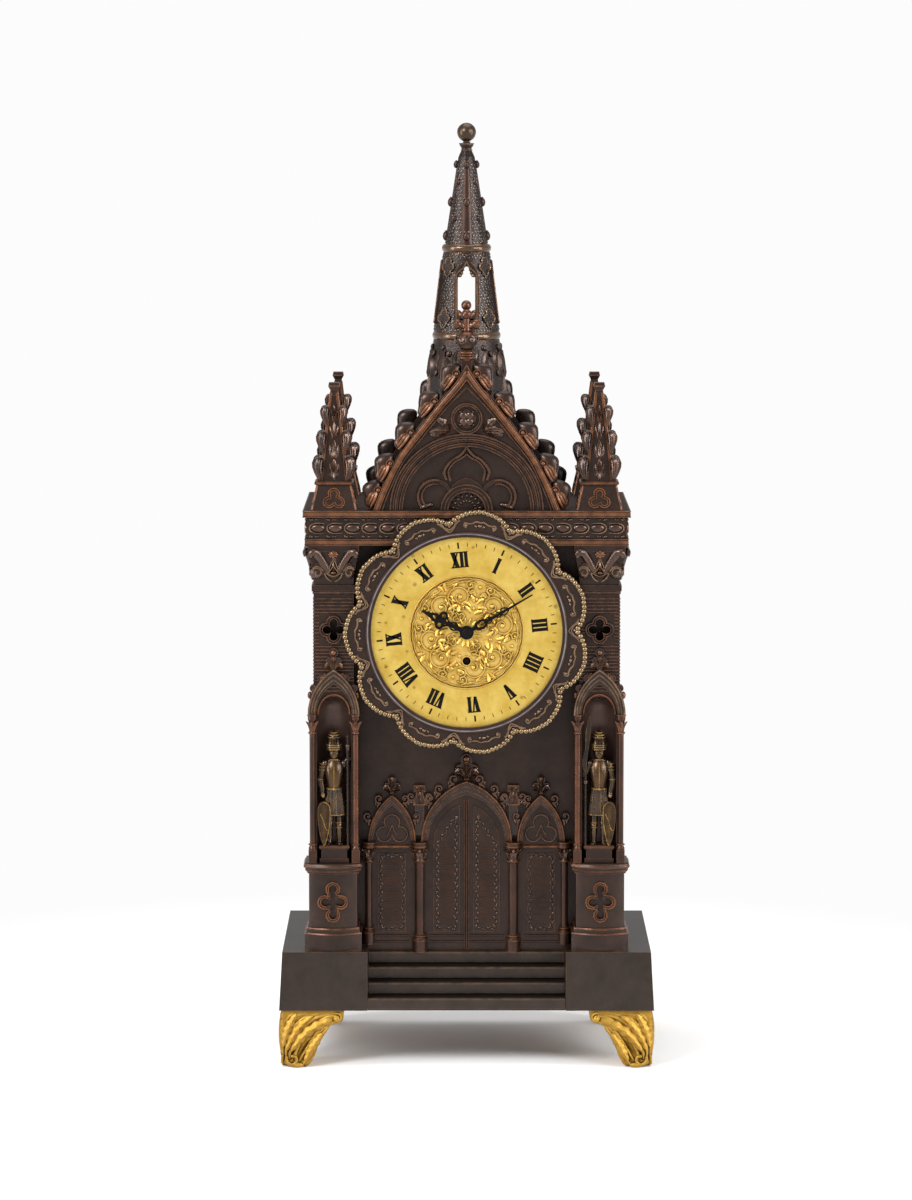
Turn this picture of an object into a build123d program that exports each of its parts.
"""Gothic cathedral mantel clock: bronze case, gilt dial and a single-train movement.

Millimetres, +Z up, the front looks along -Y, and the origin lies on the ground under the middle.
"""

import os
from math import acos, atan2, cos, degrees, hypot, pi, radians, sin, sqrt, tan

from build123d import *

os.makedirs("parts", exist_ok=True)

# Plinth and feet
foot_height = 38.7
plinth_height = 38.9
plinth_half_width = 123.9
plinth_half_depth = 79.0
plinth_batter = 2.1
plinth_wall = 6.0
step_count = 4
step_tread = 10.6
recess_half_width = 65.5
landing_drop = 5.2
base_board_thickness = 5.0
foot_length = 40.0

# Case walls
case_half_width = 100.3
wall = 4.0
facade_y = -40.0
case_back_y = 66.0
case_height = 268.9

# Corner towers with the piers under them
tower_x = 87.4
tower_width = 26.4
pier_x = 88.3
pier_width = 31.8
tower_front_y = -65.0
pier_front_y = -72.0
pier_base_height = 14.1
pier_drum_height = 37.1
pier_torus_height = 7.2
figure_pedestal_height = 11.5
niche_radius = 11.4
niche_spring_height = 87.2
niche_head_rise = 30.2
capital_height = 30.4
colonnette_radius = 1.8

# Entablature and roof
entablature_half_width = 107.2
entablature_front_y = -69.0
entablature_back_y = 72.0
entablature_height = 22.6
deck_thickness = 5.0
gable_half_width = 61.9
gable_height = 97.8
gable_thickness = 5.5
gable_band = 4.2
roof_thickness = 3.0
pinnacle_x = 87.0
pinnacle_front_y = -53.0
pinnacle_back_y = 56.0
pinnacle_height = 83.5

# Spire
drum_bottom_radius = 25.4
drum_top_radius = 22.0
drum_height = 109.0
spire_ring_height = 5.0
belfry_height = 53.0
belfry_bottom_radius = 21.8
belfry_top_radius = 15.4
belfry_wall = 3.6
window_width = 11.6
spire_cone_height = 63.6
cone_bottom_radius = 13.9
cone_shoulder_radius = 6.3
cone_top_radius = 3.8
ball_radius = 6.27

# Dial and bezel
dial_height_above_case = 212.1
dial_radius = 64.0
dial_opening = 62.8
dial_thickness = 1.2
bezel_cusp_radius = 73.4
bezel_peak_radius = 80.9
bezel_lobes = 11
bezel_thickness = 6.0
winding_drop = 19.0
winding_hole_radius = 3.0
minute_hand_length = 50.0
hour_hand_length = 33.0
minute_hand_angle = 59.7
hour_hand_angle = 296.2

# Movement
drum_outer_radius = 55.0
drum_wall = 2.0
front_plate_y = -60.0
plate_thickness = 2.0
plate_gap = 32.0
back_plate_radius = 44.0
pillar_circle = 39.5
pressure_angle = 28.0
tooth_thinning = 0.10
pendulum_length = 168.0
bob_radius = 19.0

# Fits
slip = 0.25
running = 0.06
seat_gap = 0.3

# Levels that follow from the sizes above
plinth_top = foot_height + plinth_height
landing_z = plinth_top - landing_drop
pier_top = plinth_top + pier_base_height + pier_drum_height + pier_torus_height
figure_z = pier_top + figure_pedestal_height
case_top = plinth_top + case_height
capital_z = case_top - capital_height
entablature_top = case_top + entablature_height
dial_z = plinth_top + dial_height_above_case
bezel_back_y = entablature_front_y
bezel_front_y = bezel_back_y - bezel_thickness
dial_face_y = bezel_back_y - 3.2
dial_back_y = dial_face_y + dial_thickness
ring_z = entablature_top + drum_height
belfry_z = ring_z + spire_ring_height
upper_ring_z = belfry_z + belfry_height
cone_z = upper_ring_z + spire_ring_height


def front_plane(y):
    """Upright plane at depth y whose sketches are seen from the front."""
    return Plane(origin=(0, y, 0), x_dir=(1, 0, 0), z_dir=(0, -1, 0))


def dial_plane(y, clockwise=0.0, x=0.0, z=0.0):
    """Upright plane at depth y centred on the dial plus (x, z), turned clockwise as seen."""
    turn = radians(clockwise)
    return Plane(
        origin=(x, y, dial_z + z),
        x_dir=(cos(turn), 0, -sin(turn)),
        z_dir=(0, -1, 0),
    )


def pointed_arch(half_width, spring, apex, bottom=0.0, mode=Mode.ADD):
    """Face of a pointed arch that stands on bottom, in the active sketch."""
    rise = apex - spring
    centre = (rise * rise - half_width * half_width) / (2 * half_width)
    radius = half_width + centre
    half_angle = atan2(rise, centre) / 2
    mid_x = radius * cos(half_angle) - centre
    mid_z = spring + radius * sin(half_angle)
    with BuildLine() as outline:
        Line((-half_width, bottom), (-half_width, spring))
        ThreePointArc((-half_width, spring), (-mid_x, mid_z), (0, apex))
        ThreePointArc((0, apex), (mid_x, mid_z), (half_width, spring))
        Polyline((half_width, spring), (half_width, bottom), (-half_width, bottom))
    make_face(outline.edges(), mode=mode)


def quatrefoil(lobe, reach_x, reach_z):
    """Four joined round lobes in the active sketch."""
    with Locations((reach_x, 0), (-reach_x, 0), (0, reach_z), (0, -reach_z)):
        Circle(lobe)
    Rectangle(2 * reach_x, 1.2 * lobe)
    Rectangle(1.2 * lobe, 2 * reach_z)


def save(builder, name):
    """Label the piece and write its file."""
    builder.part.label = name
    export_step(builder.part, f"parts/{name}.step")


# Plinth with the recess for the entrance steps
with BuildPart() as plinth:
    with BuildSketch(Plane.XY.offset(foot_height)):
        Rectangle(2 * plinth_half_width, 2 * plinth_half_depth)
    extrude(amount=plinth_height, taper=degrees(atan2(plinth_batter, plinth_height)))
    recess_depth = plinth_half_depth + facade_y
    with BuildSketch(Plane.XY.offset(foot_height)):
        with Locations((0, -plinth_half_depth + recess_depth / 2)):
            Rectangle(2 * recess_half_width, recess_depth)
    extrude(amount=plinth_height, mode=Mode.SUBTRACT)
    hollow_half_width = plinth_half_width - plinth_batter - plinth_wall
    hollow_front_y = facade_y + plinth_wall
    hollow_back_y = plinth_half_depth - plinth_batter - plinth_wall
    pocket_inner_x = recess_half_width + plinth_wall
    pocket_front_y = -hollow_back_y
    with BuildSketch(Plane.XY.offset(foot_height)):
        with Locations((0, (hollow_front_y + hollow_back_y) / 2)):
            Rectangle(2 * hollow_half_width, hollow_back_y - hollow_front_y)
        for side in (-1, 1):
            with Locations(
                (
                    side * (hollow_half_width + pocket_inner_x) / 2,
                    (pocket_front_y + hollow_front_y) / 2,
                )
            ):
                Rectangle(hollow_half_width - pocket_inner_x, hollow_front_y - pocket_front_y)
    extrude(amount=plinth_height - plinth_wall, mode=Mode.SUBTRACT)
save(plinth, "plinth")

# Base board that closes the plinth from below, with a hole over each foot
foot_hole_x = plinth_half_width - 18.0
foot_hole_y = plinth_half_depth - 18.0
foot_spots = [(sx * foot_hole_x, sy * foot_hole_y) for sx in (-1, 1) for sy in (-1, 1)]
with BuildPart() as base_board:
    with BuildSketch(Plane.XY.offset(foot_height)):
        with Locations((0, (hollow_front_y + hollow_back_y) / 2)):
            Rectangle(
                2 * (hollow_half_width - slip), hollow_back_y - hollow_front_y - 2 * slip
            )
        for side in (-1, 1):
            with Locations(
                (
                    side * (hollow_half_width + pocket_inner_x) / 2,
                    (pocket_front_y + hollow_front_y) / 2 + slip,
                )
            ):
                Rectangle(
                    hollow_half_width - pocket_inner_x - 2 * slip,
                    hollow_front_y - pocket_front_y,
                )
        with Locations(*foot_spots):
            Circle(2.3, mode=Mode.SUBTRACT)
    extrude(amount=base_board_thickness)
save(base_board, "base_board")

# Entrance steps between the front blocks of the plinth
with BuildPart() as entrance_steps:
    rise = (landing_z - foot_height) / step_count
    front_y = -plinth_half_depth + 1.4
    with BuildSketch(Plane.YZ):
        with BuildLine():
            outline = [(facade_y, foot_height), (front_y, foot_height)]
            for i in range(step_count):
                outline.append((front_y + i * step_tread, foot_height + (i + 1) * rise))
                if i < step_count - 1:
                    outline.append(
                        (front_y + (i + 1) * step_tread, foot_height + (i + 1) * rise)
                    )
            outline.append((facade_y, landing_z))
            Polyline(*outline, close=True)
        make_face()
    extrude(amount=recess_half_width - 0.1, both=True)
save(entrance_steps, "entrance_steps")


def bracket_profile():
    """Side outline of a leaf bracket foot: 0 is its outer edge, its scroll points inward."""
    with BuildLine() as outline:
        Line((0, foot_height), (foot_length, foot_height))
        Spline(
            (foot_length, foot_height),
            (0.97 * foot_length, 0.80 * foot_height),
            (0.80 * foot_length, 0.73 * foot_height),
            (0.66 * foot_length, 0.56 * foot_height),
            (0.56 * foot_length, 0.28 * foot_height),
            (0.47 * foot_length, 0.08 * foot_height),
            (0.38 * foot_length, 0),
        )
        Line((0.38 * foot_length, 0), (0.12 * foot_length, 0))
        Spline(
            (0.12 * foot_length, 0),
            (0.02 * foot_length, 0.09 * foot_height),
            (0.07 * foot_length, 0.22 * foot_height),
            (0.02 * foot_length, 0.45 * foot_height),
            (0, 0.72 * foot_height),
            (0, foot_height),
        )
    make_face(outline.edges())


def foot(side_x, side_y):
    """Leaf bracket foot under one corner of the plinth."""
    inset = 2.2
    corner = (side_x * (plinth_half_width - inset), side_y * (plinth_half_depth - inset), 0)
    across = Plane(origin=corner, x_dir=(-side_x, 0, 0), z_dir=(0, side_x, 0))
    along = Plane(origin=corner, x_dir=(0, -side_y, 0), z_dir=(-side_y, 0, 0))
    with BuildPart() as built:
        with BuildSketch(across):
            bracket_profile()
        extrude(amount=foot_length, both=True)
        with BuildSketch(along):
            bracket_profile()
        extrude(amount=foot_length, both=True, mode=Mode.INTERSECT)
        with Locations((side_x * foot_hole_x, side_y * foot_hole_y, foot_height)):
            Cylinder(
                2.1, 13, align=(Align.CENTER, Align.CENTER, Align.MAX), mode=Mode.SUBTRACT
            )
    return built


corner_feet = [foot(side_x, side_y) for side_x in (-1, 1) for side_y in (-1, 1)]
with BuildPart() as feet:
    for corner_foot in corner_feet:
        add(corner_foot.part)
save(feet, "feet")

# Screws that hold the feet from inside the plinth
with BuildPart() as foot_screws:
    with Locations(*[(x, y, foot_height + base_board_thickness) for x, y in foot_spots]):
        Cylinder(2.0, base_board_thickness + 12, align=(Align.CENTER, Align.CENTER, Align.MAX))
        Cylinder(4.2, 2.6, align=(Align.CENTER, Align.CENTER, Align.MIN))
save(foot_screws, "foot_screws")

# Walls of the case
drum_hole = drum_outer_radius + slip
with BuildPart() as facade_wall:
    with BuildSketch(front_plane(facade_y + wall)):
        with Locations((0, plinth_top)):
            Rectangle(2 * case_half_width, case_height, align=(Align.CENTER, Align.MIN))
        with Locations((0, dial_z)):
            Circle(drum_hole, mode=Mode.SUBTRACT)
    extrude(amount=wall)
save(facade_wall, "facade_wall")

with BuildPart() as side_walls:
    side_depth = case_back_y - wall - (facade_y + wall)
    for side in (-1, 1):
        with Locations(
            (side * (case_half_width - wall / 2), (case_back_y + facade_y) / 2, plinth_top)
        ):
            Box(wall, side_depth, case_height, align=(Align.CENTER, Align.CENTER, Align.MIN))
save(side_walls, "side_walls")

rear_opening = 49.0
with BuildPart() as back_wall:
    with BuildSketch(front_plane(case_back_y)):
        with Locations((0, plinth_top)):
            Rectangle(2 * case_half_width, case_height, align=(Align.CENTER, Align.MIN))
        with Locations((0, dial_z)):
            Circle(rear_opening, mode=Mode.SUBTRACT)
    extrude(amount=wall)
save(back_wall, "back_wall")

# Portals: the doors lie against the facade wall and stand on the landing
portal_spring = 74.0
main_half = 30.2
main_apex = 114.6
main_door_half = 25.4
side_portal_x = 49.6
side_half = 15.8
side_apex = 105.4
side_door_half = 12.2
portal_column_x = 31.2
outer_column_x = 65.2
door_thickness = 2.4
arch_depth = 6.4
portals = ((0.0, main_half, main_door_half, main_apex),) + tuple(
    (side * side_portal_x, side_half, side_door_half, side_apex) for side in (-1, 1)
)


def portal_plane(x, depth):
    """Upright plane on the landing in front of the facade wall."""
    return Plane(origin=(x, facade_y - depth, landing_z), x_dir=(1, 0, 0), z_dir=(0, -1, 0))


with BuildPart() as portal_doors:
    for x, half, door_half, apex in portals:
        with BuildSketch(portal_plane(x, 0)):
            pointed_arch(half, portal_spring, apex)
        extrude(amount=door_thickness)
    # Two leaves in the middle, one door at each side, each with a raised panel
    with BuildSketch(portal_plane(0, door_thickness)):
        pointed_arch(main_door_half - 3.4, portal_spring - 2, main_apex - 15, bottom=12.5)
        Rectangle(9.0, 3 * main_apex, mode=Mode.SUBTRACT)
        Rectangle(3.2, main_apex - 13, align=(Align.CENTER, Align.MIN))
        for side in (-1, 1):
            with Locations((side * side_portal_x, 12.5)):
                Rectangle(
                    2 * side_door_half - 6, portal_spring - 21, align=(Align.CENTER, Align.MIN)
                )
            with Locations((side * side_portal_x, portal_spring - 5)):
                Rectangle(2 * side_door_half, 2.4, align=(Align.CENTER, Align.MIN))
    extrude(amount=1.0)
save(portal_doors, "portal_doors")

# Stepped arch mouldings over the three portals
with BuildPart() as portal_arches:
    for x, half, door_half, apex in portals:
        step = (half - door_half) / 3
        for ring in range(3):
            outer = half - ring * step
            outer_apex = apex - ring * step * 2.0
            with BuildSketch(portal_plane(x, door_thickness)):
                pointed_arch(outer, portal_spring, outer_apex, bottom=portal_spring - 0.6)
                pointed_arch(
                    outer - step,
                    portal_spring,
                    outer_apex - step * 2.0,
                    bottom=portal_spring - 0.6,
                    mode=Mode.SUBTRACT,
                )
            extrude(amount=arch_depth - door_thickness - 1.2 * ring)
save(portal_arches, "portal_arches")

# Columns between the portals: base, shaft and bell capital, half sunk against the wall
column_y = facade_y - door_thickness - 3.4
with BuildPart() as portal_columns:
    for x, radius in (
        (-outer_column_x, 2.2),
        (-portal_column_x, 3.2),
        (portal_column_x, 3.2),
        (outer_column_x, 2.2),
    ):
        foot_z = landing_z if abs(x) < recess_half_width - 5 else plinth_top
        top_z = landing_z + portal_spring - 0.6
        with BuildSketch(Plane(origin=(x, column_y, 0), x_dir=(1, 0, 0), z_dir=(0, -1, 0))):
            with BuildLine():
                Polyline(
                    (0, foot_z),
                    (radius + 1.8, foot_z),
                    (radius + 1.8, foot_z + 7.5),
                    (radius + 0.8, foot_z + 9.0),
                    (radius + 1.2, foot_z + 10.6),
                    (radius, foot_z + 12.0),
                    (radius, top_z - 13.5),
                    (radius + 0.9, top_z - 12.6),
                    (radius + 0.2, top_z - 11.2),
                    (radius + 0.7, top_z - 6.0),
                    (radius + 2.4, top_z - 3.4),
                    (radius + 2.4, top_z),
                    (0, top_z),
                    close=True,
                )
            make_face()
        revolve(axis=Axis((x, column_y, 0), (0, 0, 1)))
    back_cut = facade_y - door_thickness - 0.05
    with Locations((0, back_cut, landing_z)):
        Box(
            3 * outer_column_x,
            20,
            3 * portal_spring,
            align=(Align.CENTER, Align.MIN, Align.CENTER),
            mode=Mode.SUBTRACT,
        )
save(portal_columns, "portal_columns")

# Finials over the portals: leaf buds on the gablets, slim pinnacles over the columns
with BuildPart() as portal_finials:
    for x, half, door_half, apex in portals:
        foot_z = landing_z + apex + 0.4
        reach = 5.4 if x == 0 else 3.6
        with BuildSketch(Plane(origin=(x, facade_y, foot_z), x_dir=(1, 0, 0), z_dir=(0, -1, 0))):
            Rectangle(0.5 * reach, 3.2 * reach, align=(Align.CENTER, Align.MIN))
            with Locations((-0.55 * reach, 1.4 * reach), (0.55 * reach, 1.4 * reach)):
                Circle(0.62 * reach)
            with Locations((0, 2.5 * reach)):
                Circle(0.72 * reach)
        extrude(amount=4.0)
    for side in (-1, 1):
        foot_z = landing_z + portal_spring + 4
        with BuildSketch(
            Plane(origin=(side * portal_column_x, facade_y, foot_z), x_dir=(1, 0, 0), z_dir=(0, -1, 0))
        ):
            Rectangle(6.0, 20.0, align=(Align.CENTER, Align.MIN))
            with Locations((0, 20.0)):
                Trapezoid(8.4, 9.0, 78, align=(Align.CENTER, Align.MIN))
            with Locations((0, 29.0)):
                Rectangle(7.6, 4.0, align=(Align.CENTER, Align.MIN))
            with Locations((-3.6, 24.0), (3.6, 24.0)):
                Circle(1.9)
        extrude(amount=3.4)
    # Clear of the arches that rise beside them
    for x, half, door_half, apex in portals:
        with BuildSketch(portal_plane(x, 0)):
            pointed_arch(half + 0.1, portal_spring, apex + 0.2, bottom=0)
        extrude(amount=20, mode=Mode.SUBTRACT)
save(portal_finials, "portal_finials")


def pier_plan(grow):
    """Plan of a corner pier with a bowed front, widened by grow, in the active sketch."""
    half = pier_width / 2 + grow
    shoulder_y = pier_front_y + 5.0 - 0.6 * grow
    with BuildLine() as outline:
        Line((-half, facade_y), (-half, shoulder_y))
        ThreePointArc((-half, shoulder_y), (0, pier_front_y - grow), (half, shoulder_y))
        Polyline((half, shoulder_y), (half, facade_y), (-half, facade_y))
    make_face(outline.edges())


def pier(side):
    """Pier below a figure niche: base, bowed drum with a quatrefoil, torus and pedestal."""
    drum_z = plinth_top + pier_base_height
    torus_z = drum_z + pier_drum_height
    with BuildPart() as built:
        levels = (
            (plinth_top, pier_base_height - 3.0, 2.9),
            (drum_z - 3.0, 3.0, 1.6),
            (drum_z, pier_drum_height, 0.0),
            (torus_z, 2.2, 1.0),
            (torus_z + 2.2, pier_torus_height - 2.2, 2.4),
        )
        for z, height, grow in levels:
            with BuildSketch(Plane(origin=(side * pier_x, 0, z))):
                pier_plan(grow)
            extrude(amount=height)
        lip = built.faces().sort_by(Axis.Z)[-1].edges().filter_by(GeomType.CIRCLE)
        fillet(lip, radius=1.6)
        # Small block the figure stands on
        with Locations((side * tower_x, tower_front_y + 1.0, torus_z + pier_torus_height)):
            Box(19.0, 10.0, 3.0, align=(Align.CENTER, Align.CENTER, Align.MIN))
            Box(
                17.0,
                8.6,
                figure_pedestal_height - 2.4,
                align=(Align.CENTER, Align.CENTER, Align.MIN),
            )
        with Locations((side * tower_x, tower_front_y + 1.0, figure_z)):
            Box(19.0, 10.0, 2.4, align=(Align.CENTER, Align.CENTER, Align.MAX))
        # Long quatrefoil sunk into the bowed front, with a raised rim
        centre_z = drum_z + pier_drum_height / 2
        panel = Plane(
            origin=(side * pier_x, pier_front_y - 0.7, centre_z), x_dir=(1, 0, 0), z_dir=(0, -1, 0)
        )
        with BuildSketch(panel):
            quatrefoil(4.3, 5.0, 8.6)
        extrude(amount=-6)
        with BuildSketch(panel):
            quatrefoil(3.0, 5.0, 8.6)
        extrude(amount=-2.6, mode=Mode.SUBTRACT)
    return built


save(pier(-1), "pier_left")
save(pier(1), "pier_right")


def tower(side):
    """Corner tower: a half-round niche for the figure below, a pilaster with a quatrefoil above."""
    centre = side * tower_x
    with BuildPart() as built:
        with Locations((centre, facade_y, pier_top)):
            Box(
                tower_width,
                facade_y - tower_front_y,
                capital_z - pier_top,
                align=(Align.CENTER, Align.MAX, Align.MIN),
            )
        # Niche: a half cylinder with a half dome
        spring_z = figure_z + niche_spring_height
        with Locations((centre, tower_front_y, pier_top)):
            Cylinder(
                niche_radius,
                spring_z - pier_top,
                align=(Align.CENTER, Align.CENTER, Align.MIN),
                mode=Mode.SUBTRACT,
            )
        with Locations((centre, tower_front_y, spring_z)):
            Sphere(niche_radius, mode=Mode.SUBTRACT)
        # Pocket behind the pilaster face and the quatrefoil that opens into it
        pocket_z = spring_z + niche_radius + 10
        with Locations((centre, facade_y, pocket_z)):
            Box(
                tower_width - 8,
                2 * (facade_y - tower_front_y - 5),
                capital_z - pocket_z - 6,
                align=(Align.CENTER, Align.CENTER, Align.MIN),
                mode=Mode.SUBTRACT,
            )
        face = Plane(origin=(centre, tower_front_y, dial_z + 1.0), x_dir=(1, 0, 0), z_dir=(0, -1, 0))
        with BuildSketch(face):
            quatrefoil(4.2, 4.4, 4.4)
        extrude(amount=1.6)
        with BuildSketch(face):
            quatrefoil(2.9, 4.4, 4.4)
        extrude(amount=10, both=True, mode=Mode.SUBTRACT)
    return built


save(tower(-1), "tower_left")
save(tower(1), "tower_right")

# Slim colonnettes beside the niches, each on its own block, with a small bell capital
niche_spring_z = figure_z + niche_spring_height
colonnette_offset = 14.3
colonnette_y = tower_front_y - 2.9
colonnette_top = niche_spring_z - 0.4
with BuildPart() as niche_colonnettes:
    for x in [
        side * tower_x + offset for side in (-1, 1) for offset in (-colonnette_offset, colonnette_offset)
    ]:
        with Locations((x, colonnette_y, pier_top)):
            Box(5.2, 5.2, 8.5, align=(Align.CENTER, Align.CENTER, Align.MIN))
        with BuildSketch(Plane(origin=(x, colonnette_y, 0), x_dir=(1, 0, 0), z_dir=(0, -1, 0))):
            with BuildLine():
                foot_z = pier_top + 8.5
                Polyline(
                    (0, foot_z),
                    (2.6, foot_z),
                    (2.6, foot_z + 1.4),
                    (colonnette_radius, foot_z + 3.0),
                    (colonnette_radius, colonnette_top - 13.0),
                    (2.5, colonnette_top - 12.2),
                    (2.0, colonnette_top - 11.0),
                    (2.2, colonnette_top - 5.5),
                    (2.9, colonnette_top - 2.6),
                    (2.9, colonnette_top),
                    (0, colonnette_top),
                    close=True,
                )
            make_face()
        revolve(axis=Axis((x, colonnette_y, 0), (0, 0, 1)))
save(niche_colonnettes, "niche_colonnettes")

# Nested pointed heads over the niches with a leaf finial and corner buds
with BuildPart() as niche_heads:
    for side in (-1, 1):
        head = Plane(
            origin=(side * tower_x, tower_front_y, niche_spring_z), x_dir=(1, 0, 0), z_dir=(0, -1, 0)
        )
        for ring in range(3):
            half = 16.9 - 1.7 * ring
            apex = niche_head_rise - 3.4 * ring
            with BuildSketch(head):
                pointed_arch(half, 0, apex, bottom=-0.4)
                pointed_arch(half - 1.7, 0, apex - 3.4, bottom=-0.4, mode=Mode.SUBTRACT)
            extrude(amount=5.6 - 1.5 * ring)
        with BuildSketch(head):
            with Locations((0, niche_head_rise - 1.5)):
                Rectangle(3.0, 12.0, align=(Align.CENTER, Align.MIN))
            with Locations((-2.6, niche_head_rise + 5.4), (2.6, niche_head_rise + 5.4)):
                Circle(2.5)
            with Locations((0, niche_head_rise + 11.0)):
                Circle(2.9)
            for mirror_x in (-1, 1):
                with Locations(
                    (mirror_x * 8.2, 0.80 * niche_head_rise),
                    (mirror_x * 13.4, 0.58 * niche_head_rise),
                ):
                    Circle(2.4)
        extrude(amount=4.4)
save(niche_heads, "niche_heads")

# Leaf capitals between the pilasters and the entablature
with BuildPart() as capitals:
    for side in (-1, 1):
        centre = side * tower_x
        depth = facade_y - tower_front_y
        middle_y = (facade_y + tower_front_y) / 2
        with Locations((centre, facade_y, capital_z)):
            Box(
                tower_width + 2.4,
                depth + 1.2,
                4.0,
                align=(Align.CENTER, Align.MAX, Align.MIN),
            )
        with BuildSketch(Plane(origin=(centre, middle_y, capital_z + 4.0))):
            Rectangle(tower_width - 0.8, depth)
        with BuildSketch(Plane(origin=(centre, middle_y - 0.8, capital_z + 0.55 * capital_height))):
            Rectangle(tower_width + 2.6, depth + 1.6)
        with BuildSketch(Plane(origin=(centre, middle_y - 1.5, case_top - 4.0))):
            Rectangle(tower_width + 6.6, depth + 3.0)
        loft()
        with Locations((centre, facade_y, case_top - 4.0)):
            Box(
                tower_width + 7.2,
                depth + 3.6,
                4.0,
                align=(Align.CENTER, Align.MAX, Align.MIN),
            )
        # Two volutes that curl out of the bell
        with Locations(
            *[
                Location(
                    (centre + offset, tower_front_y - 1.4, capital_z + 0.50 * capital_height), (90, 0, 0)
                )
                for offset in (-8.6, 8.6)
            ]
        ):
            Cylinder(4.2, 4.0)
save(capitals, "capitals")

# Entablature: a hollow frame with two bands and a sunk frieze, closed above by the roof deck
entablature_depth = entablature_back_y - entablature_front_y
entablature_middle_y = (entablature_back_y + entablature_front_y) / 2
band_height = 4.0
deck_half_width = entablature_half_width - 8.0
deck_front_y = entablature_front_y + 8.0
deck_back_y = entablature_back_y - 8.0
with BuildPart() as entablature:
    for z, height, inset in (
        (case_top, band_height, 1.2),
        (case_top + band_height, entablature_height - 2 * band_height, 2.4),
        (entablature_top - band_height, band_height, 0.0),
    ):
        with Locations((0, entablature_front_y + inset, z)):
            Box(
                2 * (entablature_half_width - inset),
                entablature_depth - 2 * inset,
                height,
                align=(Align.CENTER, Align.MIN, Align.MIN),
            )
    well_front_y = facade_y + wall
    well_back_y = case_back_y - wall
    with Locations((0, well_front_y, case_top)):
        Box(
            2 * (case_half_width - wall),
            well_back_y - well_front_y,
            entablature_height,
            align=(Align.CENTER, Align.MIN, Align.MIN),
            mode=Mode.SUBTRACT,
        )
    with Locations((0, deck_front_y, entablature_top)):
        Box(
            2 * deck_half_width,
            deck_back_y - deck_front_y,
            deck_thickness,
            align=(Align.CENTER, Align.MIN, Align.MAX),
            mode=Mode.SUBTRACT,
        )
save(entablature, "entablature")

with BuildPart() as roof_deck:
    with Locations((0, deck_front_y + slip, entablature_top)):
        Box(
            2 * (deck_half_width - slip),
            deck_back_y - deck_front_y - 2 * slip,
            deck_thickness,
            align=(Align.CENTER, Align.MIN, Align.MAX),
        )
save(roof_deck, "roof_deck")


def gable_points(inset):
    """Half outline of the ogee gable from its foot to its apex, moved inward by inset."""
    w = gable_half_width
    h = gable_height
    return [
        (w - inset, 0),
        (0.925 * w - inset, 0.125 * h),
        (0.765 * w - 0.9 * inset, 0.325 * h),
        (0.575 * w - 0.8 * inset, 0.505 * h - 0.5 * inset),
        (0.300 * w - 0.7 * inset, 0.730 * h - 0.8 * inset),
        (0.105 * w - 0.3 * inset, 0.885 * h - 1.6 * inset),
        (0, h - 2.6 * inset),
    ]


def gable_face(inset, mode=Mode.ADD):
    """Ogee gable standing on 0, in the active sketch."""
    right = gable_points(inset)
    left = [(-x, z) for x, z in right]
    with BuildLine() as outline:
        Spline(*right)
        Spline(*left)
        Line(left[0], right[0])
    make_face(outline.edges(), mode=mode)


def crocket_circles():
    """Round lobes of the five curled leaves along one rake: place and radius of each."""
    w = gable_half_width
    h = gable_height
    lobes = []
    for x, z, slope in (
        (0.955, 0.060, 68),
        (0.835, 0.240, 64),
        (0.635, 0.450, 55),
        (0.390, 0.660, 52),
        (0.150, 0.845, 56),
    ):
        out_x, out_z = sin(radians(slope)), cos(radians(slope))
        up_x, up_z = -out_z, out_x
        for out, up, radius in ((2.6, -2.0, 4.4), (5.0, 2.8, 5.0), (8.6, 5.2, 3.1)):
            lobes.append((x * w + out * out_x + up * up_x, z * h + out * out_z + up * up_z, radius))
    return lobes


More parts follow.
